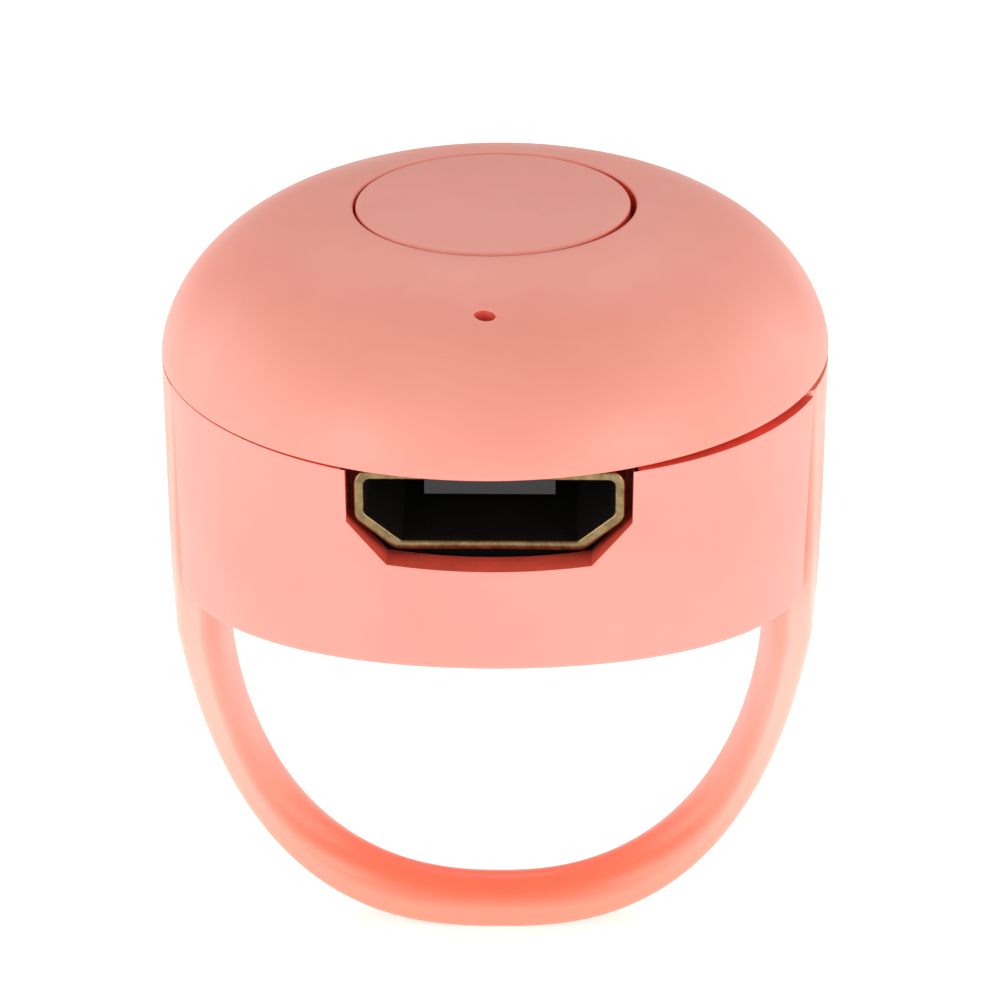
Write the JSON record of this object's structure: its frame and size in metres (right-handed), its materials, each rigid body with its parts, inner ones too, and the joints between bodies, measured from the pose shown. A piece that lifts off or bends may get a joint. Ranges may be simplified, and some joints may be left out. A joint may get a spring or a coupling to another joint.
{
  "type": "finger-worn button remote",
  "caption": "Round domed housing with one flush push button and a charging socket, worn on a finger by a U-shaped band.",
  "frame": {"origin": "centre of the finger opening, on the finger's axis", "axes": "+Z away from the finger through the button, -Y towards the charging socket, Y along the finger"},
  "size_m": [0.02, 0.02, 0.0248],
  "materials": {
    "shell_pink": "satin moulded plastic, salmon pink",
    "band_pink": "soft satin moulded plastic, salmon pink",
    "button_pink": "satin moulded plastic, salmon pink",
    "switch_black": "moulded nylon",
    "switch_steel": "stamped sheet",
    "dome_steel": "spring sheet",
    "plunger_white": "moulded nylon",
    "tin_plate": "tinned sheet",
    "board_black": "solder mask on fibreglass",
    "socket_gold": "gold-flashed steel sheet",
    "tongue_grey": "moulded insulator",
    "contact_gold": "gold plated",
    "chip_black": "moulded epoxy",
    "can_steel": "lid of the crystal",
    "ceramic_white": "glazed ceramic",
    "led_clear": "clear epoxy lens",
    "resistor_black": "glazed film",
    "capacitor_tan": "fired ceramic",
    "cell_foil": "laminated foil pouch",
    "tape_amber": "polyimide film",
    "pad_foam": "foam tape",
    "wire_red": "insulated wire",
    "wire_black": "insulated wire"
  },
  "bodies": {
    "housing": {"lid_shell": "shell_pink", "base_shell": "shell_pink", "finger_band": "band_pink", "switch_housing": "switch_black", "switch_cover": "switch_steel", "switch_snap_dome": "dome_steel", "switch_terminals": "tin_plate", "main_board": "board_black", "usb_shell": "socket_gold", "usb_tongue": "tongue_grey", "usb_contacts": "contact_gold", "radio_chip": "chip_black", "crystal_can": "can_steel", "charge_chip": "chip_black", "antenna_chip": "ceramic_white", "status_led": "led_clear", "chip_resistors": "resistor_black", "chip_capacitors": "capacitor_tan", "battery_cell": "cell_foil", "protection_board": "board_black", "cell_tape": "tape_amber", "cell_pad": "pad_foam", "cell_wire_red": "wire_red", "cell_wire_black": "wire_black"},
    "button": {"button_cap": "button_pink"},
    "plunger": {"switch_plunger": "plunger_white"}
  },
  "joints": [
    {"name": "button_press", "type": "slide", "parent": "housing", "child": "button", "axis": [0, 0, -1], "range_m": [0, 0.0003], "stiffness_N_per_m": 500},
    {"name": "plunger_press", "type": "slide", "parent": "housing", "child": "plunger", "axis": [0, 0, -1], "range_m": [0, 0.0003], "deforming": ["switch_snap_dome"]}
  ],
  "couplings": [
    {"joint": "plunger_press", "follows": "button_press", "ratio": 1}
  ]
}
